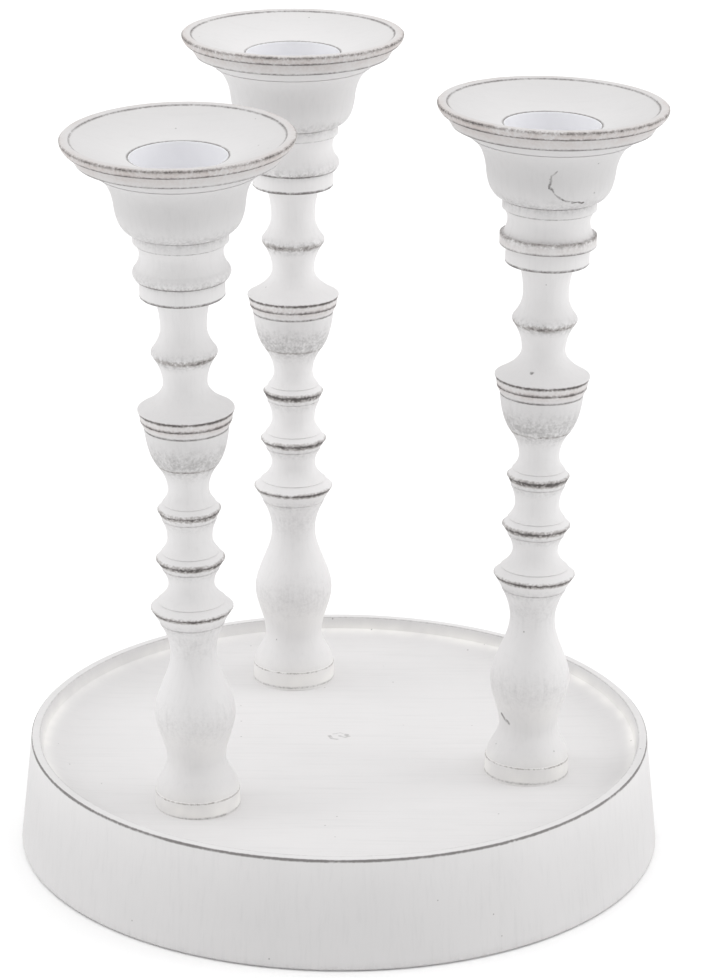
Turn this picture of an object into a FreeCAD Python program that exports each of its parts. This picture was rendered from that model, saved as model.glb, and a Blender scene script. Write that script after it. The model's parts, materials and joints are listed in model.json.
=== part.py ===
"""Wooden candlestick: three turned sticks on one round tray base.

Millimetres, +Z up. The origin is on the base's axis, level with the underside of the felt that the
base stands on. Each stick is drawn on its own axis, with heights measured up from the tray floor,
and is then set on its place and leant by the few degrees by which hand fitting has left it.
"""
import FreeCAD, Part
import math
import os

from FreeCAD import Vector

# ------------------------------------------------------------------ base
BASE_FOOT_R = 135.0       # radius where the side meets the table
SIDE_LEAN = 4.8           # how far the side comes in from there up to the rim
BASE_H = 47.5             # height of the rim over the table
BASE_EDGE = 1.0           # bevel at the foot of the side
RIM_EDGE = 0.5            # bevel at the outer edge of the rim
RIM_W = 3.5               # width of the flat rim
TRAY_DEPTH = 8.2          # rim down to the tray floor
WALL_DEPTH = 4.8          # rim down to the foot of the steep inner wall
WALL_LEAN = 1.6           # how far the inner wall comes in over its depth
COVE_W = 13.0             # width of the hollow between the wall and the flat floor

# ------------------------------------------------------------------ felt under the base
FELT_INSET = 10.0         # from the base's side in to the felt
FELT_T = 1.3
FELT_PROUD = 0.3          # how far the felt stands below the wood
FELT_GAP = 0.5            # radial room around the felt in its recess

# ------------------------------------------------------------------ the sticks' places
FOOT_INSET = 13.1         # from the edge of the flat tray floor in to a foot
# each stick: its angle around the base from +X, then its lean towards +X and towards +Y, degrees
STICKS = {
    "left": (-135.5, -1.3, -0.2),
    "right": (-15.5, 1.3, 2.4),
    "back": (104.5, -0.2, 3.0),
}
SQUARE_BANDS = ("right",)  # sticks whose cup has a square band
SEAT_DEPTH = 1.2          # depth of the flat seat sunk in the floor under each foot
SEAT_GAP = 0.1            # radial room around the foot in its seat

# ------------------------------------------------------------------ turned details
EDGE_H = 1.0              # height of the narrow worn edge of a ring
EDGE_ROUND = 0.3          # how far that edge rounds in at its two corners
GROOVE_W = 0.6            # width of a scored line
GROOVE_D = 0.35           # its depth

# ------------------------------------------------------------------ spindle
# Each rise is measured from the station before it, so that all above moves with a changed one.
FOOT_R = 17.5
FOOT_H = 7.4
FOOT_BEVEL = 0.4
LOWER_NECK_R = 12.1
LOWER_NECK_RISE = 13.6
BELLY_R = 16.6
BELLY_RISE = 20.5
VASE_NECK_R = 9.4
VASE_NECK_RISE = 26.5
# each ring: radius, rise over the neck before, drop and radius of the groove under it, rise and
# radius of the groove over it, then the rise and radius of the neck that follows
RINGS = (
    dict(r=16.9, rise=19.9, below=(6.1, 13.3), above=(2.5, 14.1), neck=(10.5, 9.4)),
    dict(r=14.1, rise=10.9, below=(3.9, 11.7), above=(2.4, 11.9), neck=(9.1, 9.2)),
    dict(r=12.9, rise=12.3, below=(3.8, 11.2), above=(2.3, 10.9), neck=(8.6, 8.35)),
)
BOWL_RISE = 11.2          # neck up to the crease where the bowl starts
BOWL_R = 12.7
BOWL_CHEEK = (5.0, 16.2)  # rise and radius that the bowl's curve leans towards
BOWL_TOP_R = 17.2         # radius at the lower of the two scored lines
BOWL_MID_R = 18.6         # radius at the upper one
BOWL_LINES = (7.4, 3.9)   # drop of the two scored lines below the shoulder's edge
SHOULDER_R = 19.6
SHOULDER_RISE = 23.2
UPPER_NECK_R = 9.0
UPPER_NECK_RISE = 11.3
BEAD_R = 13.5
BEAD_RISE = 13.0
BEAD_H = 3.6              # height of the bead's rounded edge
BEAD_STEP = 0.8           # how far that edge rounds in at its two ends
STEM_NECK_R = 9.4
STEM_NECK_RISE = 10.5
STEM_TOP_R = 11.6
STEM_TOP_RISE = 13.0      # up to the cup's seat

# ------------------------------------------------------------------ cup: rises as on the spindle
COLLAR_R = 17.2
COLLAR_H = 7.2
COLLAR_BEVEL = 0.6
BAND_R = 19.8
BAND_H = 5.0
BAND_STEP = 1.2           # how far the band's two edges stand in from its widest place
CUP_NECK_R = 16.9
CUP_NECK_RISE = 5.5
FILLET_R = 19.3
FILLET_RISE = 4.7
FILLET_H = 4.0
BELL_FOOT_R = 20.3
BELL_CHEEK = (2.0, 25.6)  # rise and radius that the bell's round bottom leans towards
BELL_WAIST_R = 26.4
BELL_WAIST_RISE = 11.9
FLARE_CHEEK = (9.5, 27.6)     # rise and radius that the flare leans towards
FLARE_INSET = 13.6        # from the rim's edge in to the foot of the flare's cone
FLARE_RISE = 13.2
FLARE_TOP_INSET = 7.2
FLARE_TOP_RISE = 4.3
STEP_INSET = (6.0, 3.1)   # from the rim's edge in to the foot and the top of the step under it
STEP_H = 5.2
RIM_UNDER_INSET = 1.7
RIM_BAND_H = 4.0
CUP_RIM_R = 47.0
CUP_RIM_BEVEL = 0.6
CUP_LIP_W = 3.4           # width of the flat lip
LIP_STEP = 0.5            # small step from the lip down into the dish
DISH_DEPTH = 8.5          # rim down to the mouth of the socket

# ------------------------------------------------------------------ socket liner of thin sheet
SOCKET_R = 19.5           # clear radius for the candle
SOCKET_DEPTH = 20.0
LINER_T = 0.5
LINER_CORNER = 1.0        # inside corner at the liner's bottom
LINER_GAP = 0.05          # radial room around the liner in the wood

# ------------------------------------------------------------------ dowel, screw and washer
DOWEL_R = 4.0
DOWEL_L = 30.0
DOWEL_BEVEL = 0.6
DOWEL_GAP = 0.05
DOWEL_END_GAP = 0.6
CLAMPED_H = 25.0          # wood between the washer's seat and the tray floor
WASHER_R = 7.0
COUNTERBORE_GAP = 1.0     # radial room around the washer
WASHER_T = 1.2
SCREW_R = 2.25
SCREW_L = 45.0            # under the head
SCREW_TIP = 4.0           # length of the pointed end
SCREW_HEAD_R = 4.4
SCREW_HEAD_H = 3.0
SCREW_HEAD_ROUND = 1.2
RECESS_R = 1.3            # cross recess in the head, half its length
RECESS_W = 1.0
RECESS_D = 1.6
SCREW_HOLE_GAP = 0.35     # radial room in the base and in the washer
PILOT_GAP = 0.05          # radial room in the spindle
PILOT_END_GAP = 2.0

# ------------------------------------------------------------------ worked out: the base
WOOD_BOTTOM = FELT_PROUD
FELT_R = BASE_FOOT_R - FELT_INSET
FLOOR_Z = BASE_H - TRAY_DEPTH
BASE_RIM_R = BASE_FOOT_R - SIDE_LEAN
RIM_INNER_R = BASE_RIM_R - RIM_W
WALL_FOOT_R = RIM_INNER_R - WALL_LEAN
TRAY_FLAT_R = WALL_FOOT_R - COVE_W
STICK_CIRCLE_R = TRAY_FLAT_R - FOOT_INSET - FOOT_R     # circle of the feet, at the tray floor

# ------------------------------------------------------------------ worked out: spindle heights
LOWER_NECK_AT = FOOT_H + LOWER_NECK_RISE
BELLY_AT = LOWER_NECK_AT + BELLY_RISE
VASE_NECK_AT = BELLY_AT + VASE_NECK_RISE
BOWL_AT = VASE_NECK_AT + sum(ring["rise"] + ring["neck"][0] for ring in RINGS) + BOWL_RISE
SHOULDER_AT = BOWL_AT + SHOULDER_RISE
UPPER_NECK_AT = SHOULDER_AT + UPPER_NECK_RISE
BEAD_AT = UPPER_NECK_AT + BEAD_RISE
STEM_NECK_AT = BEAD_AT + STEM_NECK_RISE
CUP_SEAT_AT = STEM_NECK_AT + STEM_TOP_RISE

# ------------------------------------------------------------------ worked out: cup heights
BAND_AT = CUP_SEAT_AT + COLLAR_H + GROOVE_W
CUP_NECK_AT = BAND_AT + BAND_H + CUP_NECK_RISE
FILLET_AT = CUP_NECK_AT + FILLET_RISE
BELL_AT = FILLET_AT + FILLET_H + GROOVE_W
BELL_WAIST_AT = BELL_AT + BELL_WAIST_RISE
FLARE_AT = BELL_WAIST_AT + FLARE_RISE
STEP_AT = FLARE_AT + FLARE_TOP_RISE
RIM_UNDER_AT = STEP_AT + STEP_H + GROOVE_W / 2
CUP_RIM_AT = RIM_UNDER_AT + RIM_BAND_H
CUP_LIP_R = CUP_RIM_R - CUP_LIP_W
SOCKET_MOUTH_AT = CUP_RIM_AT - DISH_DEPTH
LINER_R = SOCKET_R + LINER_T
SOCKET_WOOD_R = LINER_R + LINER_GAP
LINER_BOTTOM_AT = SOCKET_MOUTH_AT - SOCKET_DEPTH - LINER_T

# ------------------------------------------------------------------ worked out: screw heights
COUNTERBORE_R = WASHER_R + COUNTERBORE_GAP
WASHER_SEAT_AT = -CLAMPED_H
HEAD_SEAT_AT = WASHER_SEAT_AT - WASHER_T
SCREW_TIP_AT = HEAD_SEAT_AT + SCREW_L


# ------------------------------------------------------------------ drawing a turned outline
class Outline:
    """Half of a turned shape's section: points are (radius, height) and the pen moves from one to
    the next, so that the closed outline spins round the Z axis into a solid."""

    def __init__(self, radius, height):
        self.pen = Vector(radius, 0, height)
        self.edges = []

    def line(self, radius, height):
        """A straight run."""
        end = Vector(radius, 0, height)
        self.edges.append(Part.makeLine(self.pen, end))
        self.pen = end
        return self

    def bend(self, radius, height, cheek_radius, cheek_height):
        """A round run that leaves towards the cheek point and arrives from it."""
        end = Vector(radius, 0, height)
        curve = Part.BezierCurve()
        curve.setPoles([self.pen, Vector(cheek_radius, 0, cheek_height), end])
        self.edges.append(curve.toShape())
        self.pen = end
        return self

    def to_neck(self, radius, height):
        """A cove from an edge to a neck, upright where it arrives."""
        return self.bend(radius, height, radius, (self.pen.z + height) / 2)

    def from_neck(self, radius, height):
        """A cove from a neck to an edge, upright where it leaves."""
        return self.bend(radius, height, self.pen.x, (self.pen.z + height) / 2)

    def wave(self, radius, height):
        """An S from one upright tangent to another, as between a neck and a belly."""
        end = Vector(radius, 0, height)
        third = (height - self.pen.z) / 3
        curve = Part.BezierCurve()
        curve.setPoles([self.pen, Vector(self.pen.x, 0, self.pen.z + third),
                        Vector(radius, 0, height - third), end])
        self.edges.append(curve.toShape())
        self.pen = end
        return self

    def groove(self, radius, height):
        """A scored line whose upper lip is at this radius and height."""
        lower_lip = self.pen
        floor_r = min(lower_lip.x, radius) - GROOVE_D
        self.line(floor_r, (lower_lip.z + height) / 2)
        return self.line(radius, height)

    def ring_edge(self, radius, height):
        """The narrow edge of a ring, centred on this height, with both corners eased."""
        self.line(radius - EDGE_ROUND, height - EDGE_H / 2)
        self.line(radius, height - EDGE_H / 4)
        self.line(radius, height + EDGE_H / 4)
        return self.line(radius - EDGE_ROUND, height + EDGE_H / 2)

    def spin(self):
        """Close the outline and spin it into a solid."""
        start = self.edges[0].firstVertex().Point
        if self.pen.distanceToPoint(start) > 1e-7:
            self.line(start.x, start.z)
        face = Part.Face(Part.Wire(self.edges))
        return face.revolve(Vector(0, 0, 0), Vector(0, 0, 1), 360)


def cylinder(radius, bottom, top):
    """A cylinder on the Z axis between two heights."""
    return Part.makeCylinder(radius, top - bottom, Vector(0, 0, bottom))


def placed(shape, angle, lean_x, lean_y):
    """Put a stick's piece on its place on the tray floor and lean it."""
    turn = math.radians(angle)
    foot = Vector(STICK_CIRCLE_R * math.cos(turn), STICK_CIRCLE_R * math.sin(turn), FLOOR_Z)
    axis = Vector(math.tan(math.radians(lean_x)), math.tan(math.radians(lean_y)), 1)
    moved = shape.copy()
    moved.Placement = FreeCAD.Placement(foot, FreeCAD.Rotation(Vector(0, 0, 1), axis))
    return moved


# ------------------------------------------------------------------ pieces of the base
def base():
    """The turned base: a leaning side, a flat rim, a steep wall and a hollow down to the floor."""
    lean = SIDE_LEAN / BASE_H
    felt_recess_r = FELT_R + FELT_GAP
    outline = Outline(0, FELT_T)
    outline.line(felt_recess_r, FELT_T)
    outline.line(felt_recess_r, WOOD_BOTTOM)
    outline.line(BASE_FOOT_R - BASE_EDGE, WOOD_BOTTOM)
    outline.line(BASE_FOOT_R - lean * BASE_EDGE, WOOD_BOTTOM + BASE_EDGE)
    outline.line(BASE_RIM_R + lean * RIM_EDGE, BASE_H - RIM_EDGE)
    outline.line(BASE_RIM_R - RIM_EDGE, BASE_H)
    outline.line(RIM_INNER_R, BASE_H)
    outline.line(WALL_FOOT_R, BASE_H - WALL_DEPTH)
    outline.bend(TRAY_FLAT_R, FLOOR_Z, (WALL_FOOT_R + TRAY_FLAT_R) / 2, FLOOR_Z)
    outline.line(0, FLOOR_Z)
    solid = outline.spin()
    seat = cylinder(FOOT_R + SEAT_GAP, -SEAT_DEPTH, FOOT_H)
    hole = cylinder(SCREW_R + SCREW_HOLE_GAP, -BASE_H, FOOT_H)
    counterbore = cylinder(COUNTERBORE_R, -2 * BASE_H, WASHER_SEAT_AT)
    for stick in STICKS.values():
        for cut in (seat, hole, counterbore):
            solid = solid.cut(placed(cut, *stick))
    return solid


def felt():
    """The felt disc that covers the underside and the screw holes."""
    return cylinder(FELT_R, 0, FELT_T)


# ------------------------------------------------------------------ pieces of a stick
def spindle():
    """The turned spindle: foot, vase, three rings, bowl with a shoulder, bead and stem."""
    outline = Outline(0, -SEAT_DEPTH)
    outline.line(FOOT_R - FOOT_BEVEL, -SEAT_DEPTH)
    outline.line(FOOT_R, FOOT_BEVEL - SEAT_DEPTH)
    outline.line(FOOT_R, FOOT_H - FOOT_BEVEL)
    outline.line(FOOT_R - FOOT_BEVEL, FOOT_H)
    outline.wave(LOWER_NECK_R, LOWER_NECK_AT)
    outline.wave(BELLY_R, BELLY_AT)
    outline.wave(VASE_NECK_R, VASE_NECK_AT)
    neck_at = VASE_NECK_AT
    for ring in RINGS:
        edge_at = neck_at + ring["rise"]
        drop, below_r = ring["below"]
        rise, above_r = ring["above"]
        neck_rise, neck_r = ring["neck"]
        neck_at = edge_at + neck_rise
        outline.from_neck(below_r, edge_at - drop - GROOVE_W)
        outline.groove(below_r, edge_at - drop)
        outline.ring_edge(ring["r"], edge_at)
        outline.line(above_r, edge_at + rise)
        outline.groove(above_r, edge_at + rise + GROOVE_W)
        outline.to_neck(neck_r, neck_at)
    lower_line, upper_line = (SHOULDER_AT - drop for drop in BOWL_LINES)
    cheek_rise, cheek_r = BOWL_CHEEK
    outline.from_neck(BOWL_R, BOWL_AT)
    outline.bend(BOWL_TOP_R, lower_line - GROOVE_W, cheek_r, BOWL_AT + cheek_rise)
    outline.groove(BOWL_TOP_R, lower_line)
    outline.line(BOWL_MID_R, upper_line - GROOVE_W)
    outline.groove(BOWL_MID_R, upper_line)
    outline.ring_edge(SHOULDER_R, SHOULDER_AT)
    outline.to_neck(UPPER_NECK_R, UPPER_NECK_AT)
    outline.from_neck(BEAD_R - BEAD_STEP, BEAD_AT - BEAD_H / 2)
    outline.bend(BEAD_R - BEAD_STEP, BEAD_AT + BEAD_H / 2, BEAD_R + BEAD_STEP, BEAD_AT)
    outline.to_neck(STEM_NECK_R, STEM_NECK_AT)
    outline.from_neck(STEM_TOP_R, CUP_SEAT_AT)
    outline.line(0, CUP_SEAT_AT)
    solid = outline.spin()
    dowel_hole = cylinder(DOWEL_R + DOWEL_GAP, CUP_SEAT_AT - DOWEL_L / 2 - DOWEL_END_GAP, CUP_SEAT_AT)
    pilot = cylinder(SCREW_R + PILOT_GAP, -SEAT_DEPTH, SCREW_TIP_AT + PILOT_END_GAP)
    return solid.cut(dowel_hole).cut(pilot)


def cup(square_band):
    """The turned cup: collar, band, neck, fillet, bell, flare, stepped rim, dish and socket."""
    band_edge_r = BAND_R - (EDGE_ROUND if square_band else BAND_STEP)
    bell_cheek_rise, bell_cheek_r = BELL_CHEEK
    flare_cheek_rise, flare_cheek_r = FLARE_CHEEK
    step_foot_inset, step_top_inset = STEP_INSET
    flare_r = CUP_RIM_R - FLARE_INSET
    outline = Outline(0, CUP_SEAT_AT)
    outline.line(COLLAR_R - COLLAR_BEVEL, CUP_SEAT_AT)
    outline.line(COLLAR_R, CUP_SEAT_AT + COLLAR_BEVEL)
    outline.line(COLLAR_R, CUP_SEAT_AT + COLLAR_H)
    outline.groove(band_edge_r, BAND_AT)
    if square_band:
        outline.line(BAND_R, BAND_AT + EDGE_ROUND)
        outline.line(BAND_R, BAND_AT + BAND_H - EDGE_ROUND)
        outline.line(band_edge_r, BAND_AT + BAND_H)
        outline.line(band_edge_r - BAND_STEP, BAND_AT + BAND_H)
    else:
        outline.bend(band_edge_r, BAND_AT + BAND_H, BAND_R + BAND_STEP, BAND_AT + BAND_H / 2)
    outline.to_neck(CUP_NECK_R, CUP_NECK_AT)
    outline.from_neck(FILLET_R - BAND_STEP / 2, FILLET_AT)
    outline.line(FILLET_R, FILLET_AT + EDGE_ROUND)
    outline.line(FILLET_R, FILLET_AT + FILLET_H)
    outline.groove(BELL_FOOT_R, BELL_AT)
    outline.bend(BELL_WAIST_R, BELL_WAIST_AT, bell_cheek_r, BELL_AT + bell_cheek_rise)
    outline.bend(flare_r, FLARE_AT, flare_cheek_r, BELL_WAIST_AT + flare_cheek_rise)
    outline.groove(flare_r, FLARE_AT + GROOVE_W / 2)
    outline.line(CUP_RIM_R - FLARE_TOP_INSET, STEP_AT)
    outline.groove(CUP_RIM_R - step_foot_inset, STEP_AT + GROOVE_W / 2)
    outline.line(CUP_RIM_R - step_top_inset, STEP_AT + STEP_H)
    outline.groove(CUP_RIM_R - RIM_UNDER_INSET, RIM_UNDER_AT)
    outline.bend(CUP_RIM_R, CUP_RIM_AT - CUP_RIM_BEVEL, CUP_RIM_R, CUP_RIM_AT - 4 * CUP_RIM_BEVEL)
    outline.line(CUP_RIM_R - CUP_RIM_BEVEL, CUP_RIM_AT)
    outline.line(CUP_LIP_R, CUP_RIM_AT)
    outline.line(CUP_LIP_R - LIP_STEP, CUP_RIM_AT - LIP_STEP)
    outline.line(SOCKET_WOOD_R, SOCKET_MOUTH_AT)
    outline.line(SOCKET_WOOD_R, LINER_BOTTOM_AT)
    outline.line(0, LINER_BOTTOM_AT)
    dowel_top = CUP_SEAT_AT + DOWEL_L / 2 + DOWEL_END_GAP
    dowel_hole = cylinder(DOWEL_R + DOWEL_GAP, CUP_SEAT_AT, dowel_top)
    return outline.spin().cut(dowel_hole)


def liner():
    """The thin cup that lines the socket, flush with the bottom of the dish."""
    shell = cylinder(LINER_R, LINER_BOTTOM_AT, SOCKET_MOUTH_AT)
    inside = cylinder(SOCKET_R, LINER_BOTTOM_AT + LINER_T, SOCKET_MOUTH_AT + LINER_T)
    bottom_edges = [edge for edge in inside.Edges
                    if edge.Curve.TypeId == "Part::GeomCircle"
                    and abs(edge.BoundBox.Center.z - LINER_BOTTOM_AT - LINER_T) < LINER_T / 2]
    return shell.cut(inside.makeFillet(LINER_CORNER, bottom_edges))


def dowel():
    """The dowel that joins the cup to the spindle."""
    half = DOWEL_L / 2
    outline = Outline(0, CUP_SEAT_AT - half)
    outline.line(DOWEL_R - DOWEL_BEVEL, CUP_SEAT_AT - half)
    outline.line(DOWEL_R, CUP_SEAT_AT - half + DOWEL_BEVEL)
    outline.line(DOWEL_R, CUP_SEAT_AT + half - DOWEL_BEVEL)
    outline.line(DOWEL_R - DOWEL_BEVEL, CUP_SEAT_AT + half)
    outline.line(0, CUP_SEAT_AT + half)
    return outline.spin()


def washer():
    """The washer under the screw's head."""
    ring = cylinder(WASHER_R, HEAD_SEAT_AT, WASHER_SEAT_AT)
    return ring.cut(cylinder(SCREW_R + SCREW_HOLE_GAP, HEAD_SEAT_AT, WASHER_SEAT_AT))


def screw():
    """The pan head screw that holds a spindle down from under the base."""
    head_bottom = HEAD_SEAT_AT - SCREW_HEAD_H
    outline = Outline(0, head_bottom)
    outline.line(SCREW_HEAD_R - SCREW_HEAD_ROUND, head_bottom)
    outline.bend(SCREW_HEAD_R, head_bottom + SCREW_HEAD_ROUND, SCREW_HEAD_R, head_bottom)
    outline.line(SCREW_HEAD_R, HEAD_SEAT_AT)
    outline.line(SCREW_R, HEAD_SEAT_AT)
    outline.line(SCREW_R, SCREW_TIP_AT - SCREW_TIP)
    outline.line(0, SCREW_TIP_AT)
    solid = outline.spin()
    bar = Part.makeBox(2 * RECESS_R, RECESS_W, RECESS_D, Vector(-RECESS_R, -RECESS_W / 2, head_bottom))
    for turn in (0, 90):
        arm = bar.copy()
        arm.rotate(Vector(0, 0, 0), Vector(0, 0, 1), turn)
        solid = solid.cut(arm)
    return solid


# ------------------------------------------------------------------ write the nodes
def write(name, shape):
    """Write one node, which has to be one valid solid."""
    if len(shape.Solids) != 1 or not shape.isValid():
        raise ValueError(name + " is not one valid solid")
    shape.Solids[0].exportStep("parts/" + name + ".step")
    print(name, round(shape.Volume / 1000, 2), "cm3")


def main():
    os.makedirs("parts", exist_ok=True)
    write("base", base())
    write("felt", felt())
    for name, stick in STICKS.items():
        pieces = {"spindle": spindle(), "cup": cup(name in SQUARE_BANDS), "liner": liner(),
                  "dowel": dowel(), "screw": screw(), "washer": washer()}
        for piece, shape in pieces.items():
            write(piece + "_" + name, placed(shape, *stick))


main()
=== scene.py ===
"""Looks of the three-light candlestick: turned wood under a white wash that is rubbed through on
every sharp edge, with white lacquered liners in the sockets and a felt disc under the base.

Outlines are in millimetres, as (radius, height) on a piece's own axis, and become metres when the
piece is spun. A stick's own axis comes from the mount of its socket.
"""
import json
import math

import bpy
import numpy as np
from mathutils import Matrix, Vector


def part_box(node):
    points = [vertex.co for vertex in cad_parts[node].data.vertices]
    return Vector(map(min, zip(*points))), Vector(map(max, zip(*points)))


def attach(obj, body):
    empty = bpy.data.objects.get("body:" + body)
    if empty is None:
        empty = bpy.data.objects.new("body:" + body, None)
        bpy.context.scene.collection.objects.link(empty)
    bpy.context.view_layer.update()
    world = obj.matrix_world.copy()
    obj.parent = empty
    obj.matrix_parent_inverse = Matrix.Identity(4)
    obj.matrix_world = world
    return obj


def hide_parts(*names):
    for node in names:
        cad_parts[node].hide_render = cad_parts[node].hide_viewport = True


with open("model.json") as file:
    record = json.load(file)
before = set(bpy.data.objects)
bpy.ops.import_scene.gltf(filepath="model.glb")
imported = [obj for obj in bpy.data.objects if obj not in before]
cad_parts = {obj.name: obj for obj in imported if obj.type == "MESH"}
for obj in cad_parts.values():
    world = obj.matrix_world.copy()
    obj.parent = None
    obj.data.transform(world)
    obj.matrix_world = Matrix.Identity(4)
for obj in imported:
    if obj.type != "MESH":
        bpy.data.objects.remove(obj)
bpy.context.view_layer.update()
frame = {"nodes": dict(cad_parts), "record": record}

MM = 0.001
TURN = 2 * math.pi

# ------------------------------------------------------------------ sizes, in millimetres
BASE_LOW, BASE_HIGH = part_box("base")
BASE_BOTTOM = BASE_LOW.z / MM
BASE_TOP = BASE_HIGH.z / MM
BASE_FOOT_R = 135.0
BASE_RIM_R = 130.2
BASE_EDGE = 1.0
RIM_EDGE = 0.5
RIM_W = 3.5
TRAY_DEPTH = 8.2
WALL_DEPTH = 4.8
WALL_LEAN = 1.6
COVE_W = 13.0
FELT_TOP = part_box("felt")[1].z / MM
FELT_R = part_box("felt")[1].x / MM
FELT_GAP = 0.5

EDGE_H = 1.0
EDGE_ROUND = 0.3
GROOVE_W = 0.6
GROOVE_D = 0.35
SEAT_DEPTH = 1.2

FOOT_R = 17.5
FOOT_H = 7.4
FOOT_BEVEL = 0.4
# lower neck, belly and upper neck, as (radius, height)
VASE = ((12.1, 21.0), (16.6, 41.5), (9.4, 68.0))
# each ring: height and radius of its edge, drop and radius of the groove under it, rise and radius
# of the groove over it, radius and height of the neck that follows, and how its edge is rubbed
RINGS = (
    dict(at=87.9, r=16.9, below=(6.1, 13.3), above=(2.5, 14.1), neck=(9.4, 98.4),
         reach=1.4, worn=0.95),
    dict(at=109.3, r=14.1, below=(3.9, 11.7), above=(2.4, 11.9), neck=(9.2, 118.4),
         reach=1.8, worn=1.0),
    dict(at=130.7, r=12.9, below=(3.8, 11.2), above=(2.3, 10.9), neck=(8.35, 139.3),
         reach=1.8, worn=1.0),
)
BOWL_FOOT = (12.7, 150.5)
BOWL_CHEEK = (16.2, 155.5)
BOWL_LINES = ((17.2, 7.4), (18.6, 3.9))     # scored lines: radius, drop below the shoulder
SHOULDER = (19.6, 173.7)
UPPER_NECK = (9.0, 185.0)
BEAD = (13.5, 198.0)
BEAD_H = 3.6
BEAD_STEP = 0.8
STEM_NECK = (9.4, 208.5)
STEM_TOP_R = 11.6
CUP_SEAT = 221.5

COLLAR_R = 17.2
COLLAR_H = 7.2
COLLAR_BEVEL = 0.6
BAND_R = 19.8
BAND_H = 5.0
BAND_STEP = 1.2
CUP_NECK = (16.9, 18.3)
FILLET_R = 19.3
FILLET_AT = 23.0
FILLET_H = 4.0
BELL_FOOT_R = 20.3
BELL_CHEEK = (25.6, 29.6)
BELL_WAIST = (26.4, 39.5)
FLARE_CHEEK = (27.6, 49.0)
FLARE = (33.4, 52.7)
FLARE_TOP = (39.8, 57.0)
STEP_R = (41.0, 43.9)
STEP_H = 5.2
RIM_UNDER_R = 45.3
CUP_RIM_R = 47.0
CUP_H = 66.5
CUP_RIM_BEVEL = 0.6
CUP_LIP_W = 3.4
LIP_STEP = 0.5
DISH_DEPTH = 8.5

SOCKET_R = 19.5
SOCKET_DEPTH = 20.0
LINER_T = 0.5
LINER_CORNER = 1.0
LINER_GAP = 0.05
DOWEL_HOLE = (4.05, 15.6)       # radius, depth from the joint
PILOT_HOLE = (2.3, 20.8)        # radius, height of its end

MOUTH = CUP_SEAT + CUP_H - DISH_DEPTH
LINER_BOTTOM = MOUTH - SOCKET_DEPTH - LINER_T
SOCKET_MIDDLE = MOUTH - (SOCKET_DEPTH - LINER_CORNER) / 2
# each stick with the seed of its own wear and how much painted shade darkens all its colour
STICKS = {"left": (1.0, 0.05), "right": (2.0, 0.05), "back": (3.0, 0.0)}
# how much painted shade darkens all of the base's colour
BASE_PAINTED_SHADE = 0.03
# cuts and chips of each stick: chains of (angle, radius, height), their width and their strength
SCARS = {
    "left": (),
    "right": (
        (((-87, 27.6, CUP_SEAT + 46.2), (-92, 26.8, CUP_SEAT + 43), (-93, 26.3, CUP_SEAT + 38.2),
          (-84, 25.4, CUP_SEAT + 33.8), (-76, 24.9, CUP_SEAT + 31.8), (-58, 24.4, CUP_SEAT + 31.0)),
         0.6, 1.2),
        (((-150, 13.0, 27.0), (-142, 12.8, 25.2), (-133, 12.6, 24.2)), 1.0, 1.0),
        (((-112, 13.2, 177.4), (-111, 13.1, 177.7)), 0.9, 1.4),
    ),
    "back": (),
}
SQUARE_BANDS = ("right",)

# a small knot in the tray floor: short curved cuts, as (x, y, z), their width and their strength
FLOOR = BASE_TOP - TRAY_DEPTH
KNOT = (
    (((-4.4, 12.5, FLOOR), (-3.4, 10.0, FLOOR), (-1.0, 9.0, FLOOR)), 0.9, 0.7),
    (((-2.6, 14.8, FLOOR), (0.4, 15.6, FLOOR), (3.6, 14.0, FLOOR)), 0.7, 0.5),
    (((0.2, 12.6, FLOOR), (2.4, 11.2, FLOOR), (4.0, 12.4, FLOOR), (2.6, 13.4, FLOOR)), 0.9, 0.5),
)
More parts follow.
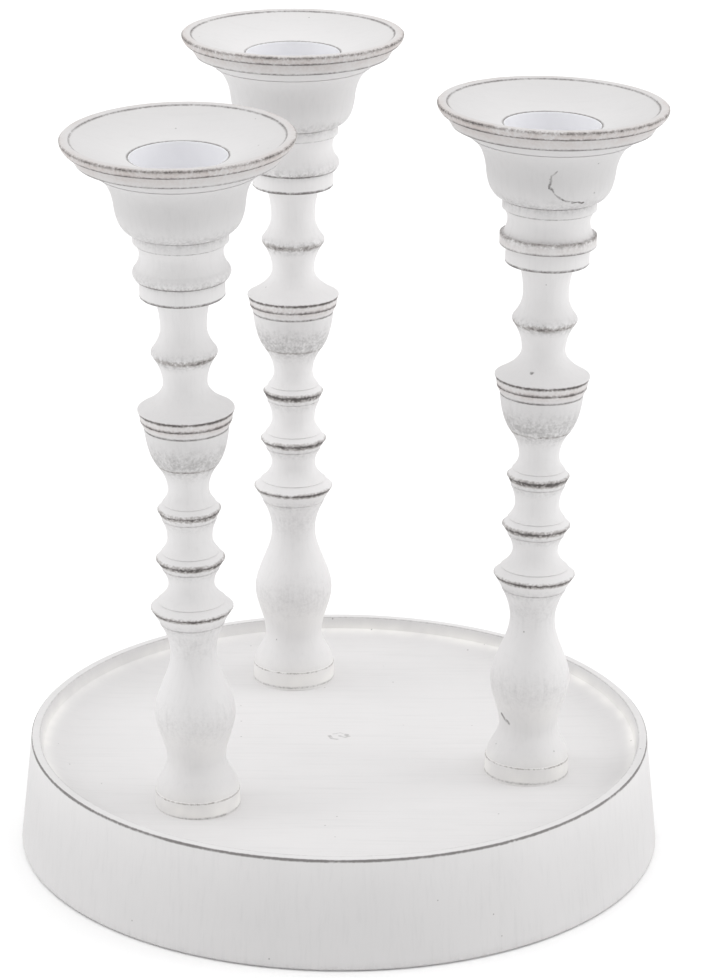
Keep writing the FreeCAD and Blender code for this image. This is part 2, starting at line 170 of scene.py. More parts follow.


# ------------------------------------------------------------------ outlines that carry wear, painted shade and painted light
class Outline:
    """Half a turned section. The pen goes from the axis round the outside and back to the axis, and
    leaves marks where it stands: wear, dirt and stain, and also painted shade and painted light.
    Each mark has a kind, a reach and a strength."""

    # kinds of mark, in order: wear, dirt, grey wash, warm tint, cream paint that is partly painted
    # light, and painted shade
    KINDS = ("worn", "line", "wash", "tint", "cream_and_painted_light", "painted_shade")
    LONGEST = 1.2      # the longest gap between two points of a round or straight run
    HEM = 0.12         # the first and last gap of each run, which keeps a corner crisp

    def __init__(self, radius, height):
        self.pen = np.array((radius, height), float)
        self.points = [self.pen[None]]
        self.marks = []

    def _run(self, poles):
        """Points of the Bezier curve with these poles, spread evenly, with a short hem at each end."""
        poles = np.array([self.pen, *poles], float)
        length = np.linalg.norm(np.diff(poles, axis=0), axis=1).sum()
        count = max(2, math.ceil(length / self.LONGEST) + 1)
        hem = min(self.HEM / length, 0.2)
        t = np.concatenate(([hem], np.linspace(0, 1, count)[1:-1], [1 - hem, 1.0]))[:, None]
        t = t[t[:, 0] >= hem]
        degree = len(poles) - 1
        curve = sum(math.comb(degree, k) * t ** k * (1 - t) ** (degree - k) * poles[k]
                    for k in range(degree + 1))
        self.points.append(curve)
        self.pen = poles[-1]
        return self

    def line(self, radius, height):
        return self._run([(radius, height)])

    def bend(self, radius, height, cheek_radius, cheek_height):
        """A round run that leaves towards the cheek point and arrives from it."""
        return self._run([(cheek_radius, cheek_height), (radius, height)])

    def to_neck(self, radius, height):
        """A cove from an edge to a neck, upright where it arrives."""
        return self.bend(radius, height, radius, (self.pen[1] + height) / 2)

    def from_neck(self, radius, height):
        """A cove from a neck to an edge, upright where it leaves."""
        return self.bend(radius, height, self.pen[0], (self.pen[1] + height) / 2)

    def wave(self, radius, height):
        """An S from one upright tangent to another."""
        third = (height - self.pen[1]) / 3
        return self._run([(self.pen[0], self.pen[1] + third), (radius, height - third),
                          (radius, height)])

    def groove(self, radius, height, strength=0.8):
        """A scored line whose upper lip is here; the strength is how dark its dirt is."""
        low = self.pen
        self.line(min(low[0], radius) - GROOVE_D, (low[1] + height) / 2)
        self.mark("line", GROOVE_W * 0.75, strength)
        return self.line(radius, height)

    def ring_edge(self, radius, height, reach, strength=1.0):
        """A ring's narrow edge, centred on this height; it is rubbed through, most just under it."""
        self.line(radius - EDGE_ROUND, height - EDGE_H / 2)
        self.mark("worn", reach, strength, -reach / 4).mark("line", 0.6, strength)
        self.line(radius, height - EDGE_H / 4)
        self.line(radius, height + EDGE_H / 4)
        return self.line(radius - EDGE_ROUND, height + EDGE_H / 2)

    def mark(self, kind, reach, strength, rise=0.0):
        """A mark centred on the pen, or this much higher, which fades over its reach. Most marks are
        wear, dirt and stain; some are painted shade and painted light.
        """
        self.marks.append((kind, self.pen + (0.0, rise), reach, strength))
        return self

    def section(self):
        """All points as one array, and for each kind of mark its strength at each point: the
        largest of strength * exp(-(distance / reach)^2) over the marks."""
        points = np.concatenate(self.points)
        fields = {kind: np.zeros(len(points)) for kind in self.KINDS}
        for kind, place, reach, strength in self.marks:
            near = np.linalg.norm(points - place, axis=1) / reach
            fields[kind] = np.maximum(fields[kind], strength * np.exp(-near ** 2))
        return points, fields


def ragged(angle, height, seed):
    """An uneven wave from -1 to 1 over angle and height: four sines of the angle, with whole numbers
    of waves so that the last meets the first, each shifted along the height."""
    total = 0
    for waves, share in ((2, 0.3), (5, 0.3), (17, 0.2), (41, 0.2)):
        total = total + share * np.sin(waves * angle + seed * waves + height * waves / 37)
    return total


def turned(name, outline, steps, place, seed, chips):
    """Spins an outline: point (i, j) is section point i turned to angle j, so x is radius * cos, y is
    radius * sin and z is the height. Worn edges lose up to chips millimetres by the ragged wave.
    The two ends of the outline lie on the axis, and each is one vertex."""
    points, fields = outline.section()
    angle = np.arange(steps) * TURN / steps
    inner = points[1:-1]
    radius, height = inner[:, :1], inner[:, 1:]
    wear = fields["worn"][1:-1, None]
    radius = radius - wear * chips * np.maximum(0, ragged(angle[None, :], height, seed))
    rings = np.stack((radius * np.cos(angle), radius * np.sin(angle),
                      np.broadcast_to(height, radius.shape)), axis=-1).reshape(-1, 3)
    ends = np.array([(0, 0, points[0, 1]), (0, 0, points[-1, 1])])
    own = np.concatenate((rings, ends)) * MM
    i = np.arange(len(inner) - 1)[:, None] * steps
    j = np.arange(steps)[None, :]
    after = (j + 1) % steps
    quads = np.stack((i + j, i + after, i + steps + after, i + steps + j), axis=-1).reshape(-1, 4)
    bottom, top = len(rings), len(rings) + 1
    last = (len(inner) - 1) * steps
    rim = np.arange(steps)
    nxt = (rim + 1) % steps
    fans = np.concatenate((np.stack((np.full(steps, bottom), nxt, rim), axis=-1),
                           np.stack((np.full(steps, top), last + rim, last + nxt), axis=-1)))
    matrix = np.array(place)
    world = own @ matrix[:3, :3].T + matrix[:3, 3]
    mesh = bpy.data.meshes.new(name)
    mesh.from_pydata(world.tolist(), [], quads.tolist() + fans.tolist())
    mesh.polygons.foreach_set("use_smooth", np.ones(len(mesh.polygons), bool))
    mesh.attributes.new("own", "FLOAT_VECTOR", "POINT").data.foreach_set("vector", own.ravel())
    run = np.gradient(points, axis=0)
    fields["wall"] = np.abs(run[:, 1]) / (np.linalg.norm(run, axis=1) + 1e-9)
    for kind, values in fields.items():
        spread = np.concatenate((np.repeat(values[1:-1], steps), values[[0, -1]]))
        mesh.attributes.new(kind, "FLOAT", "POINT").data.foreach_set("value", spread)
    piece = bpy.data.objects.new(name, mesh)
    bpy.context.collection.objects.link(piece)
    return piece


def stick_place(name):
    """The matrix that carries a stick's own axis to its place: its Z is the socket's axis, and its
    origin is on that axis, level with the tray floor."""
    mount = next(m for m in frame["record"]["mounts"] if m["name"] == "socket_" + name)
    axis = Vector(mount["axis"])
    origin = Vector(mount["pos_m"]) - axis * SOCKET_MIDDLE * MM
    side = Vector((0, 1, 0)).cross(axis).normalized()
    front = axis.cross(side)
    return Matrix.Translation(origin) @ Matrix((side, front, axis)).transposed().to_4x4()


# ------------------------------------------------------------------ outlines of the pieces
def base_outline():
    """Underside with the felt's recess, leaning side, flat rim, steep wall, hollow and floor."""
    lean = (BASE_FOOT_R - BASE_RIM_R) / BASE_TOP
    rim_inner = BASE_RIM_R - RIM_W
    wall_foot = rim_inner - WALL_LEAN
    flat = wall_foot - COVE_W
    o = Outline(0, FELT_TOP)
    o.line(FELT_R + FELT_GAP, FELT_TOP).line(FELT_R + FELT_GAP, BASE_BOTTOM)
    o.line(BASE_FOOT_R - BASE_EDGE, BASE_BOTTOM)
    o.line(BASE_FOOT_R - lean * BASE_EDGE, BASE_BOTTOM + BASE_EDGE)
    # painted shade over the base's outer side, strongest a third of the way up
    o.mark("wash", 2.0, 0.35).mark("painted_shade", 36, 0.13, BASE_TOP / 3)
    o.line(BASE_RIM_R + lean * RIM_EDGE, BASE_TOP - RIM_EDGE)
    o.mark("line", 0.45, 1.5).mark("worn", 0.5, 0.3)
    o.line(BASE_RIM_R - RIM_EDGE, BASE_TOP)
    o.line(rim_inner, BASE_TOP).mark("line", 0.5, 0.42)
    # painted light: the tray's inner wall is lightened near its foot, where it would fall into shade
    o.line(wall_foot, BASE_TOP - WALL_DEPTH).mark("cream_and_painted_light", 3.0, 1.1)
    o.bend(flat, FLOOR, (wall_foot + flat) / 2, FLOOR)
    return o.line(0, FLOOR)


def spindle_outline():
    """Foot, vase, three rings, bowl with a shoulder, bead and stem, with the two holes in its ends."""
    o = Outline(0, PILOT_HOLE[1])
    o.line(PILOT_HOLE[0], PILOT_HOLE[1]).line(PILOT_HOLE[0], -SEAT_DEPTH)
    o.line(FOOT_R - FOOT_BEVEL, -SEAT_DEPTH).line(FOOT_R, FOOT_BEVEL - SEAT_DEPTH)
    # the foot band is cream paint, made lighter still as painted light from the floor
    o.mark("line", 0.7, 0.6, SEAT_DEPTH).mark("cream_and_painted_light", 6.0, 1.2, FOOT_H / 2)
    o.line(FOOT_R, FOOT_H - FOOT_BEVEL).mark("worn", 0.5, 0.55)
    o.line(FOOT_R - FOOT_BEVEL, FOOT_H)
    o.wave(*VASE[0]).wave(*VASE[1]).mark("wash", 12.0, 0.32, -2.0)
    # the lower vase is lightened, partly as cream paint and partly as painted light from the floor
    o.mark("cream_and_painted_light", 9.0, 0.5, -12.0).wave(*VASE[2]).mark("wash", 9.0, 0.35, 6.0)
    for ring in RINGS:
        drop, below = ring["below"]
        rise, above = ring["above"]
        o.from_neck(below, ring["at"] - drop - GROOVE_W).mark("wash", 3.5, 0.45)
        o.groove(below, ring["at"] - drop, 0.3)
        o.ring_edge(ring["r"], ring["at"], ring["reach"], ring["worn"])
        o.line(above, ring["at"] + rise).groove(above, ring["at"] + rise + GROOVE_W, 0.25)
        o.to_neck(*ring["neck"])
    (low_r, low_drop), (high_r, high_drop) = BOWL_LINES
    low, high = SHOULDER[1] - low_drop, SHOULDER[1] - high_drop
    o.from_neck(*BOWL_FOOT).mark("worn", 0.8, 0.7).mark("wash", 8.0, 0.95, 3.5)
    # painted shade on the bowl's lower cheek
    o.bend(low_r, low - GROOVE_W, *BOWL_CHEEK).mark("painted_shade", 12, 0.10, -5.0).groove(low_r, low, 0.75)
    o.mark("line", 0.5, 0.65).mark("worn", 0.8, 0.3)
    o.line(high_r, high - GROOVE_W).groove(high_r, high, 0.9).mark("line", 0.6, 0.8)
    o.mark("worn", 1.1, 0.45).mark("tint", 2.5, 0.9)
    o.ring_edge(*SHOULDER, 0.85, 1.0).to_neck(*UPPER_NECK)
    bead_edge = BEAD[0] - BEAD_STEP
    o.from_neck(bead_edge, BEAD[1] - BEAD_H / 2).mark("worn", 1.7, 0.74, 0.5).mark("wash", 3.5, 0.9)
    o.bend(bead_edge, BEAD[1] + BEAD_H / 2, BEAD[0] + BEAD_STEP, BEAD[1]).to_neck(*STEM_NECK)
    o.from_neck(STEM_TOP_R, CUP_SEAT).line(DOWEL_HOLE[0], CUP_SEAT)
    o.line(DOWEL_HOLE[0], CUP_SEAT - DOWEL_HOLE[1])
    return o.line(0, CUP_SEAT - DOWEL_HOLE[1])


def cup_outline(square_band):
    """Collar, band, neck, fillet, bell, flare, stepped rim, dish and socket, with the dowel's hole."""
    seat = CUP_SEAT
    band = seat + COLLAR_H + GROOVE_W
    band_edge = BAND_R - (EDGE_ROUND if square_band else BAND_STEP)
    rim = seat + CUP_H
    lip_r = CUP_RIM_R - CUP_LIP_W
    o = Outline(0, seat + DOWEL_HOLE[1])
    o.line(DOWEL_HOLE[0], seat + DOWEL_HOLE[1]).line(DOWEL_HOLE[0], seat)
    o.line(COLLAR_R - COLLAR_BEVEL, seat).mark("line", 0.7, 0.95)
    o.line(COLLAR_R, seat + COLLAR_BEVEL).mark("line", 0.55, 0.85).mark("worn", 0.8, 0.45)
    o.line(COLLAR_R, seat + COLLAR_H)
    o.groove(band_edge, band, 1.0).mark("line", 0.75, 1.1)
    if square_band:
        o.line(BAND_R, band + EDGE_ROUND).mark("tint", 3.0, 0.5, BAND_H / 2)
        o.line(BAND_R, band + BAND_H - EDGE_ROUND).mark("worn", 1.1, 0.62).mark("wash", 2.0, 0.8)
        o.line(band_edge, band + BAND_H).line(band_edge - BAND_STEP, band + BAND_H)
    else:
        o.mark("wash", 3.0, 0.7, 1.2).mark("worn", 1.6, 0.4, 1.0)
        o.bend(band_edge, band + BAND_H, BAND_R + BAND_STEP, band + BAND_H / 2)
    o.to_neck(CUP_NECK[0], seat + CUP_NECK[1])
    o.from_neck(FILLET_R - BAND_STEP / 2, seat + FILLET_AT).mark("line", 0.6, 0.6)
    o.line(FILLET_R, seat + FILLET_AT + EDGE_ROUND).line(FILLET_R, seat + FILLET_AT + FILLET_H)
    o.groove(BELL_FOOT_R, seat + FILLET_AT + FILLET_H + GROOVE_W, 0.6).mark("wash", 5.0, 0.8, 2.0)
    o.bend(BELL_WAIST[0], seat + BELL_WAIST[1], BELL_CHEEK[0], seat + BELL_CHEEK[1])
    # painted shade on the bell's waist, under the flare
    o.mark("painted_shade", 16, 0.17, 3.0)
    o.bend(FLARE[0], seat + FLARE[1], FLARE_CHEEK[0], seat + FLARE_CHEEK[1])
    o.groove(FLARE[0], seat + FLARE[1] + GROOVE_W / 2, 0.15)
    o.line(FLARE_TOP[0], seat + FLARE_TOP[1])
    o.groove(STEP_R[0], seat + FLARE_TOP[1] + GROOVE_W / 2, 0.7).mark("line", 0.95, 0.95)
    o.line(STEP_R[1], seat + FLARE_TOP[1] + STEP_H).mark("tint", 3.5, 0.8, -1.5)
    o.groove(RIM_UNDER_R, seat + FLARE_TOP[1] + STEP_H + GROOVE_W / 2, 0.8)
    o.mark("line", 1.1, 1.1).mark("worn", 1.4, 0.8)
    o.bend(CUP_RIM_R, rim - CUP_RIM_BEVEL, CUP_RIM_R, rim - 4 * CUP_RIM_BEVEL)
    o.mark("tint", 3.2, 1.2, -1.4).mark("worn", 1.1, 0.72).mark("line", 0.5, 0.55)
    o.line(CUP_RIM_R - CUP_RIM_BEVEL, rim)
    o.line(lip_r, rim).line(lip_r - LIP_STEP, rim - LIP_STEP).mark("line", 0.5, 0.8)
    # painted shade over the dish and the cup's rim
    o.mark("painted_shade", 30, 0.15)
    o.line(SOCKET_R + LINER_T + LINER_GAP, MOUTH).mark("line", 0.45, 0.95)
    return o.line(SOCKET_R + LINER_T + LINER_GAP, LINER_BOTTOM).line(0, LINER_BOTTOM)


def liner_outline():
    """Thin sheet cup: outside up to the mouth, over its edge and down the inside to its bottom."""
    bottom = LINER_BOTTOM + LINER_T
    edge = LINER_T / 2
    o = Outline(0, LINER_BOTTOM)
    o.line(SOCKET_R + LINER_T, LINER_BOTTOM).line(SOCKET_R + LINER_T, MOUTH - edge)
    o.bend(SOCKET_R + edge, MOUTH, SOCKET_R + LINER_T, MOUTH).mark("worn", 0.3, 0.5)
    o.bend(SOCKET_R, MOUTH - edge, SOCKET_R, MOUTH)
    o.line(SOCKET_R, bottom + LINER_CORNER).mark("wash", 1.5, 0.4)
    o.bend(SOCKET_R - LINER_CORNER, bottom, SOCKET_R, bottom)
    return o.line(0, bottom)


def felt_outline():
    """A flat disc with a softly rounded edge, a third of its thickness in radius."""
    soft = FELT_TOP / 3
    o = Outline(0, 0)
    o.line(FELT_R - soft, 0).bend(FELT_R, soft, FELT_R, 0).line(FELT_R, FELT_TOP - soft)
    return o.bend(FELT_R - soft, FELT_TOP, FELT_R, FELT_TOP).line(0, FELT_TOP)


# ------------------------------------------------------------------ materials
class Signal:
    """A number that varies over a surface. Sums, products and so on add Math nodes."""

    def __init__(self, finish, socket):
        self.finish = finish
        self.socket = socket

    def _math(self, operation, *values):
        return self.finish.add("ShaderNodeMath", {"operation": operation}, dict(enumerate(values)))

    def __add__(self, other):
        return self._math("ADD", self, other)

    __radd__ = __add__

    def __sub__(self, other):
        return self._math("SUBTRACT", self, other)

    def __rsub__(self, other):
        return self._math("SUBTRACT", other, self)

    def __mul__(self, other):
        return self._math("MULTIPLY", self, other)

    __rmul__ = __mul__

    def most(self, other):
        """The larger of the two."""
        return self._math("MAXIMUM", self, other)

    def step(self, low, high):
        """0 below low, 1 above high, smooth between; low may be the larger."""
        return self.finish.add("ShaderNodeMapRange", {"interpolation_type": "SMOOTHSTEP"},
                               {"Value": self, "From Min": low, "From Max": high})


class Finish:
    """One material under construction."""

    def __init__(self, name):
        self.material = bpy.data.materials.new(name)
        self.material.use_nodes = True
        self.tree = self.material.node_tree
        self.shader = self.tree.nodes["Principled BSDF"]

    def plug(self, socket, value):
        """Give a socket a value or a link."""
        if isinstance(value, Signal):
            self.tree.links.new(value.socket, socket)
        else:
            socket.default_value = value

    def add(self, kind, settings, inputs, output=0):
        """A node of this kind, its settings first, then its sockets; returns one of its outputs."""
        node = self.tree.nodes.new(kind)
        for name, value in settings.items():
            setattr(node, name, value)
        for name, value in inputs.items():
            self.plug(node.inputs[name], value)
        return Signal(self, node.outputs[output])

    def field(self, name, output="Fac"):
        """A mark's strength, or another number, that the piece carries at each point."""
        return self.add("ShaderNodeAttribute", {"attribute_name": name}, {}, output)

    def specks(self, vector, spacing, radius, seed):
        """1 inside small round dots, scattered about this far apart in space, and 0 elsewhere."""
        shifted = self.add("ShaderNodeVectorMath", {"operation": "ADD"}, {0: vector, 1: (seed, 0, 0)})
        far = self.add("ShaderNodeTexVoronoi", {}, {"Vector": shifted, "Scale": 1 / (spacing * MM)})
        return far.step(radius / spacing, 0.6 * radius / spacing)

    def scratch(self, vector, points, width):
        """1 on the chain of straight cuts through these points, in millimetres, and 0 beyond its
        width. From each cut the distance is that to the nearest point between its two ends."""
        chain = 0
        for start, end in zip(points, points[1:]):
            start, end = Vector(start) * MM, Vector(end) * MM
            run = end - start
            away = self.add("ShaderNodeVectorMath", {"operation": "SUBTRACT"}, {0: vector, 1: start})
            along = self.add("ShaderNodeVectorMath", {"operation": "DOT_PRODUCT"},
                             {0: away, 1: run / run.length_squared}, "Value")
            along = self.add("ShaderNodeClamp", {}, {"Value": along})
            near = self.add("ShaderNodeVectorMath", {"operation": "SCALE"}, {0: run, "Scale": along})
            gap = self.add("ShaderNodeVectorMath", {"operation": "DISTANCE"}, {0: away, 1: near},
                           "Value")
            chain = gap.step(width * MM, width * MM / 3).most(chain)
        return chain

    def stretched(self, vector, x, y, z):
        """The vector with each axis scaled, so that a pattern on it is stretched."""
        return self.add("ShaderNodeVectorMath", {"operation": "MULTIPLY"}, {0: vector, 1: (x, y, z)})

    def noise(self, vector, size, seed, detail=3.0, roughness=0.55):
        """Cloudy noise from 0 to 1 whose blobs are about this many millimetres across."""
        return self.add("ShaderNodeTexNoise", {"noise_dimensions": "4D"},
                        {"Vector": vector, "W": seed, "Scale": 1 / (size * MM), "Detail": detail,
                         "Roughness": roughness})

    def shaken(self, vector, size, reach):
        """The vector moved to any side by up to half this reach, by noise of this size."""
        cloud = self.add("ShaderNodeTexNoise", {}, {"Vector": vector, "Scale": 1 / (size * MM)},
                         "Color")
        centred = self.add("ShaderNodeVectorMath", {"operation": "SUBTRACT"},
                           {0: cloud, 1: (0.5, 0.5, 0.5)})
        return self.add("ShaderNodeVectorMath", {"operation": "MULTIPLY_ADD"},
                        {0: centred, 1: (reach * MM, reach * MM, reach * MM), 2: vector})

    def mix(self, factor, first, second):
        """First colour where the factor is 0, second where it is 1."""
        return self.add("ShaderNodeMix", {"data_type": "RGBA"}, {0: factor, 6: first, 7: second}, 2)

    def bump(self, height, distance, strength=1.0):
        """A normal from a height from 0 to 1 that stands for this many millimetres."""
        return self.add("ShaderNodeBump", {}, {"Height": height, "Distance": distance * MM,
                                               "Strength": strength})

    def set(self, **values):
        """Sockets of the shader, with _ for each space."""
        for name, value in values.items():
            self.plug(self.shader.inputs[name.replace("_", " ")], value)


PAINT = (0.782, 0.771, 0.772, 1)
PAINT_GREY = (0.60, 0.597, 0.597, 1)
PAINT_WARM = (0.53, 0.475, 0.455, 1)
# cream paint, also used as painted light where cream marks brighten shaded walls
CREAM_AND_PAINTED_LIGHT = (0.885, 0.872, 0.85, 1)
WASH = (0.36, 0.352, 0.35, 1)
RUBBED = (0.31, 0.287, 0.275, 1)
BARE = (0.085, 0.078, 0.075, 1)
DIRT = (0.13, 0.12, 0.117, 1)
BLACK = (0, 0, 0, 1)
# sizes of the patterns in the paint, millimetres
CLOUD = 30
PATCH = 15
BLOT = 3.2
CRUMB = 1.2
GRIT = 0.6
STREAK = 1.5
BOARD = 1.8
STRETCH = 0.06    # scale of a streak along its run
BOARD_STRETCH = 0.05
SPECK_GAP = 12
SPECK_R = 0.45
SHAKE = 2.0       # reach of the noise that bends a cut
SHAKE_SIZE = 2.5


def whitewash(name, seed, overall_painted_shade, scars):
    """White paint over turned wood. Painted shade darkens it: all over by the piece's share of it,
    and more where the piece carries marks of painted shade. Its cream marks are cream paint made
    lighter still as painted light. Streaks follow the piece's axis on its walls and the boards' grain
    on flat tops. Wear shows where the piece's marks, roughened by noise, pass a threshold."""
    f = Finish(name)
    own = f.field("own", "Vector")
    wall = f.field("wall")
    cloud = f.noise(own, CLOUD, seed)
    patch = f.noise(own, PATCH, seed + 5, 2.0).step(0.3, 0.7)
    blot = f.noise(own, BLOT, seed + 7)
    crumb = f.noise(own, CRUMB, seed + 11, 2.0, 0.6)
    grit = f.noise(own, GRIT, seed + 9, 2.0, 0.7)
    along = f.noise(f.stretched(own, 1, 1, STRETCH), STREAK, seed + 13, 4.0, 0.65)
    boards = f.noise(f.stretched(own, BOARD_STRETCH, 1, 1), BOARD, seed + 17, 4.0, 0.6)
    streak = along * wall + boards * (1 - wall)

    edge = f.field("worn")
    worn = edge * (0.66 + 0.4 * patch + (grit - 0.5) * 1.3 + (crumb - 0.5) * 1.7
                   + (blot - 0.5) * 0.7)
    bare = worn.step(0.55, 0.95)
    rubbed = worn.step(0.2, 0.6)
    line = f.field("line") * (0.5 + 0.35 * patch + 0.4 * blot + (grit - 0.5) * 0.6
                              + (crumb - 0.5) * 1.5)
    dirt = line.step(0.1, 0.95)
    stain = f.field("wash") * (streak * 0.7 + blot * 0.9 + crumb * 1.2 + grit * 0.6 - 1.25)
    tint = f.field("tint") * (0.35 + 0.6 * patch + (crumb - 0.5) * 2.0)
    speck = f.specks(own, SPECK_GAP, SPECK_R, seed)

    colour = f.mix(cloud.step(0.3, 0.8) * 0.10 + streak.step(0.45, 0.8) * 0.2, PAINT, PAINT_GREY)
    # painted shade: the colour is darkened towards black by the piece's overall share and its
    # painted-shade marks
    colour = f.mix(f.field("painted_shade") + overall_painted_shade, colour, BLACK)
    # cream paint on the feet, which also serves as painted light on the feet, lower vases and tray
    # wall
    colour = f.mix(f.field("cream_and_painted_light") * (0.3 + 0.6 * patch), colour, CREAM_AND_PAINTED_LIGHT)
    colour = f.mix(tint * 0.8, colour, PAINT_WARM)
    colour = f.mix(stain.step(0.0, 0.7) * 0.8, colour, WASH)
    colour = f.mix(rubbed * 0.75, colour, RUBBED)
    colour = f.mix(dirt * 0.85, colour, DIRT)
    colour = f.mix(bare * 0.85, colour, BARE)
    colour = f.mix(speck * 0.5, colour, DIRT)
    shaken = f.shaken(own, SHAKE_SIZE, SHAKE)
    for points, width, strength in scars:
        cut = f.scratch(shaken, points, width) * (blot * 2.2 - 0.5) * strength
        colour = f.mix(cut, colour, DIRT)
    relief = streak * 0.35 + grit * 0.15 + cloud * 0.15 - bare * 0.4 - dirt * 0.2
    f.set(Base_Color=colour, Roughness=0.62 + 0.2 * bare + (streak - 0.5) * 0.15,
          Normal=f.bump(relief, 0.12, 0.6), Specular_IOR_Level=0.3)
    return f.material


def lacquer(name, seed):
    """Cool white lacquer on thin sheet, a little uneven and scuffed at the edge."""
    f = Finish(name)
    own = f.field("own", "Vector")
    cloud = f.noise(own, 9, seed)
    fine = f.noise(own, 0.8, seed + 3)
    scuff = (f.field("worn") + (fine - 0.5) * 0.5).step(0.4, 0.6)
    colour = f.mix(cloud, (0.86, 0.86, 0.885, 1), (0.90, 0.90, 0.92, 1))
    colour = f.mix(f.field("wash") * fine, colour, (0.55, 0.55, 0.57, 1))
    colour = f.mix(scuff, colour, (0.35, 0.35, 0.36, 1))
    f.set(Base_Color=colour, Roughness=0.30 + 0.15 * cloud,
          Normal=f.bump(cloud * 0.6 + fine * 0.1, 0.1), Coat_Weight=0.3)
    return f.material


def beech(name):
    """Raw beech with short flecks along the dowel."""
    f = Finish(name)
    place = f.add("ShaderNodeTexCoord", {}, {}, "Object")
    fibre = f.noise(f.stretched(place, 1, 1, 0.06), 0.7, 4.0, 4.0)
    fleck = f.noise(f.stretched(place, 1, 1, 0.25), 0.5, 8.0).step(0.62, 0.7)
    colour = f.mix(fibre, (0.60, 0.42, 0.27, 1), (0.78, 0.60, 0.42, 1))
    colour = f.mix(fleck * 0.6, colour, (0.38, 0.24, 0.15, 1))
    f.set(Base_Color=colour, Roughness=0.7, Normal=f.bump(fibre, 0.1))
    return f.material


def zinc(name):
    """Zinc plated steel with a faint bloom."""
    f = Finish(name)
    place = f.add("ShaderNodeTexCoord", {}, {}, "Object")
    bloom = f.noise(place, 2.5, 1.0)
    fine = f.noise(place, 0.3, 2.0)
    f.set(Base_Color=f.mix(bloom, (0.55, 0.56, 0.58, 1), (0.74, 0.74, 0.72, 1)), Metallic=1.0,
          Roughness=0.28 + 0.25 * bloom, Normal=f.bump(fine, 0.02))
    return f.material


def wool_felt(name):
    """Pressed grey felt: matted fibres in two sizes."""
    f = Finish(name)
    own = f.field("own", "Vector")
    matted = f.noise(own, 3.0, 1.0, 6.0, 0.7)
    fibre = f.noise(f.stretched(own, 1, 0.25, 1), 0.5, 2.0, 3.0)
    colour = f.mix(matted, (0.17, 0.165, 0.155, 1), (0.30, 0.29, 0.27, 1))
    f.set(Base_Color=f.mix(fibre * 0.5, colour, (0.42, 0.41, 0.39, 1)), Roughness=0.95,
          Normal=f.bump(matted * 0.6 + fibre * 0.4, 0.4), Sheen_Weight=0.3)
    return f.material


def pale_floor(name):
    """Plain pale ground."""
    f = Finish(name)
    place = f.add("ShaderNodeTexCoord", {}, {}, "Object")
    f.set(Base_Color=f.mix(f.noise(place, 400, 1.0), (0.96, 0.96, 0.96, 1), (0.98, 0.98, 0.98, 1)),
          Roughness=0.9)
    return f.material


def at(angle, radius, height):
    """A point on a piece's own surface, from its angle in degrees, radius and height."""
    turn = math.radians(angle)
    return (radius * math.cos(turn), radius * math.sin(turn), height)


# ------------------------------------------------------------------ make the pieces
def finish_piece(piece, material, slot, *nodes):
    """Paint a new piece, let it ride on the object and stand for its CAD nodes."""
    piece.data.materials.append(material)
    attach(piece, "root")
    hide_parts(*nodes)


def paint_node(node, material):
    """Give a CAD node that stays a better material."""
    mesh = frame["nodes"][node].data
    mesh.materials.clear()
    mesh.materials.append(material)


# how many steps each piece is spun in, and how deep its worn edges are chipped, in millimetres
BASE_STEPS = 336
FELT_STEPS = 256
SPINDLE_STEPS = 160
CUP_STEPS = 224
LINER_STEPS = 160
BASE_CHIPS = 0.2
STICK_CHIPS = 0.25
NO_CHIPS = 0.0

upright = Matrix.Identity(4)
finish_piece(turned("tray_base", base_outline(), BASE_STEPS, upright, 0.7, BASE_CHIPS),
             whitewash("whitewash_base", 0.0, BASE_PAINTED_SHADE, KNOT), "whitewashed_wood", "base")
finish_piece(turned("felt_disc", felt_outline(), FELT_STEPS, upright, 0.1, NO_CHIPS),
             wool_felt("grey_felt"), "felt", "felt")
dowel_wood = beech("raw_beech")
screw_zinc = zinc("zinc_plate")
for stick, (seed, overall_painted_shade) in STICKS.items():
    place = stick_place(stick)
    scars = [([at(*point) for point in chain], width, strength)
             for chain, width, strength in SCARS[stick]]
    wood = whitewash("whitewash_" + stick, seed, overall_painted_shade, scars)
    spindle = turned("turned_spindle_" + stick, spindle_outline(), SPINDLE_STEPS, place, seed,
                     STICK_CHIPS)
    cup = turned("turned_cup_" + stick, cup_outline(stick in SQUARE_BANDS), CUP_STEPS, place,
                 seed + 0.4, STICK_CHIPS)
    liner = turned("socket_liner_" + stick, liner_outline(), LINER_STEPS, place, seed, NO_CHIPS)
    finish_piece(spindle, wood, "whitewashed_wood", "spindle_" + stick)
    finish_piece(cup, wood, "whitewashed_wood", "cup_" + stick)
    finish_piece(liner, lacquer("lacquer_" + stick, seed), "white_lacquer", "liner_" + stick)
    paint_node("dowel_" + stick, dowel_wood)
    paint_node("screw_" + stick, screw_zinc)
    paint_node("washer_" + stick, screw_zinc)

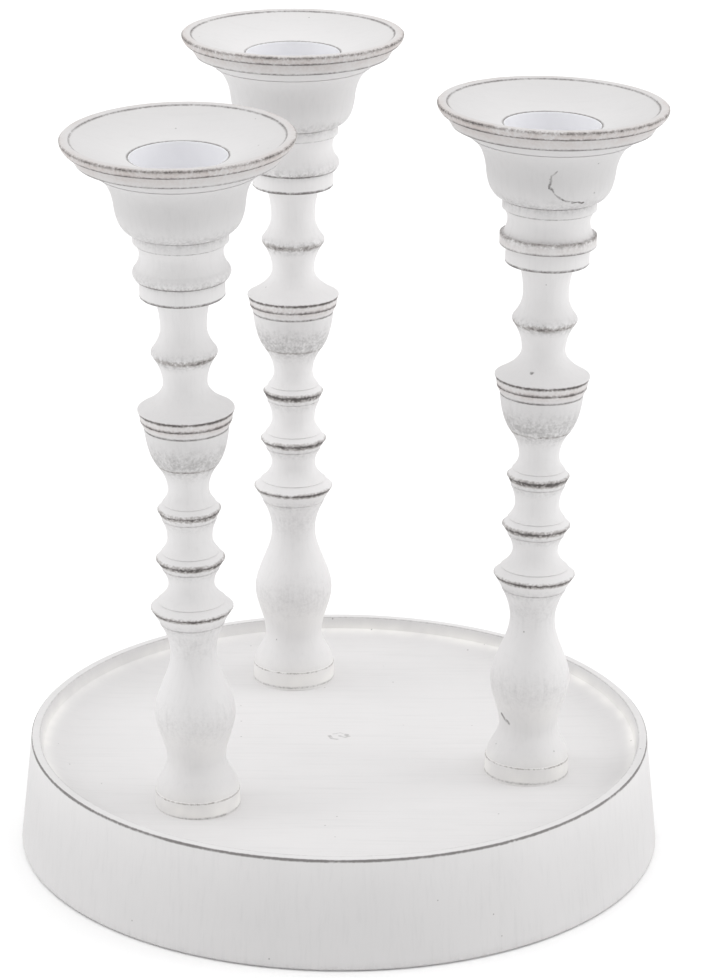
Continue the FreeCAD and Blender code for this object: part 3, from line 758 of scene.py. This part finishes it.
# ------------------------------------------------------------------ floor, light and camera
GROUND_HALF = 12.0
ground_mesh = bpy.data.meshes.new("ground")
ground_mesh.from_pydata([(-GROUND_HALF, -GROUND_HALF, 0), (GROUND_HALF, -GROUND_HALF, 0),
                         (GROUND_HALF, GROUND_HALF, 0), (-GROUND_HALF, GROUND_HALF, 0)],
                        [], [(0, 1, 2, 3)])
ground_mesh.materials.append(pale_floor("pale_ground"))
ground = bpy.data.objects.new("ground", ground_mesh)
bpy.context.collection.objects.link(ground)


def soft_box(name, place, aim, size, power):
    """A square soft light at a place, turned to face a point."""
    lamp = bpy.data.lights.new(name, "AREA")
    lamp.shape = "SQUARE"
    lamp.size = size
    lamp.energy = power
    box = bpy.data.objects.new(name, lamp)
    box.location = place
    box.rotation_euler = (Vector(aim) - Vector(place)).to_track_quat("-Z", "Y").to_euler()
    bpy.context.collection.objects.link(box)


CENTRE = (0, 0, 0.15)
soft_box("top_light", (0, 0.2, 4.0), CENTRE, 4.0, 64)
soft_box("left_light", (-4.0, 0.4, 1.85), CENTRE, 3.2, 48)
soft_box("right_light", (4.0, 0.4, 1.85), CENTRE, 3.2, 58)

ROOM_LIGHT = 0.73
world = bpy.data.worlds.new("studio")
world.use_nodes = True
surroundings = world.node_tree.nodes["Background"].inputs
surroundings["Color"].default_value = (1, 1, 1, 1)
surroundings["Strength"].default_value = ROOM_LIGHT
bpy.context.scene.world = world
bpy.context.scene.view_settings.view_transform = "Standard"

LENS = 186.6405                 # focal length on a 36 mm sensor, millimetres
SENSOR = 36.0
VIEW_DOWN = 0.3625              # how far the camera looks down, radians
VIEW_ROLL = 0.0059
VIEW_FROM = (0.00599, -1.97296, 0.90504)
camera_data = bpy.data.cameras.new("camera")
camera_data.sensor_width = SENSOR
camera_data.lens = LENS
camera = bpy.data.objects.new("camera", camera_data)
look = Matrix.Rotation(math.pi / 2 - VIEW_DOWN, 4, "X") @ Matrix.Rotation(VIEW_ROLL, 4, "Z")
camera.matrix_world = Matrix.Translation(VIEW_FROM) @ look
bpy.context.collection.objects.link(camera)
bpy.context.scene.camera = camera
